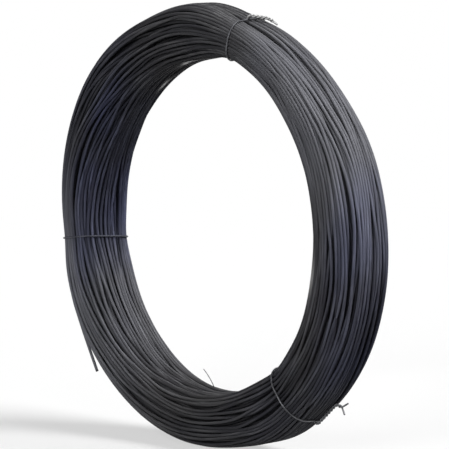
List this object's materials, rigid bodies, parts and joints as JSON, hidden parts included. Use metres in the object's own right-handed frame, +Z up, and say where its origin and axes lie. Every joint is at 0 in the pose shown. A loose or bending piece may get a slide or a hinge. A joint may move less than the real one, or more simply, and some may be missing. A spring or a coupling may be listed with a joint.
{
  "type": "coil of annealed wire",
  "caption": "Round coil of soft black annealed steel wire, wound in layers with a clear bore and bound by tie wires with twisted ends.",
  "frame": {"origin": "on the floor under the middle of the coil, halfway along its width", "axes": "+Y along the coil's axis, with the front end towards -Y; +Z up; the coil stands on its rim"},
  "size_m": [0.57, 0.092, 0.57],
  "materials": {
    "annealed_wire": "dark oxide skin left by annealing, semi-matt",
    "tie_wire": "thin drawn wire, a little lighter than the coil, semi-matt"
  },
  "bodies": {
    "root": {"wire_coil": "annealed_wire", "tie_wire_upper": "tie_wire", "tie_wire_left": "tie_wire", "tie_wire_lower": "tie_wire"}
  },
  "joints": []
}
